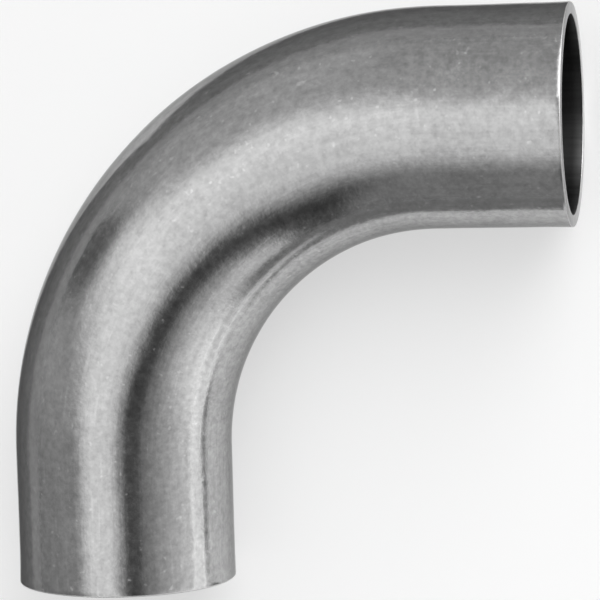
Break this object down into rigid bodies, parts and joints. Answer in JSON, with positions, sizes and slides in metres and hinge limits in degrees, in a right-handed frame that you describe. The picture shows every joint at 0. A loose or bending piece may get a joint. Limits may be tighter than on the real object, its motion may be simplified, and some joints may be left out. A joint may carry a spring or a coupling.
{
  "type": "butt weld elbow",
  "caption": "Right-angle tube elbow with a long smooth bend and two short straight legs, open at both square-cut ends, which are butt welded to tubes.",
  "frame": {"origin": "centre of the inlet's end face, on the inlet leg's axis", "axes": "the elbow lies on its side: +Y runs into the inlet leg, +X points out of the outlet, and +Z is square to the plane of the bend"},
  "size_m": [0.1257, 0.1257, 0.0482],
  "materials": {
    "bare_steel": "bare matt steel, finely grained, with a few handling marks"
  },
  "bodies": {
    "root": {"elbow": "bare_steel"}
  },
  "joints": []
}
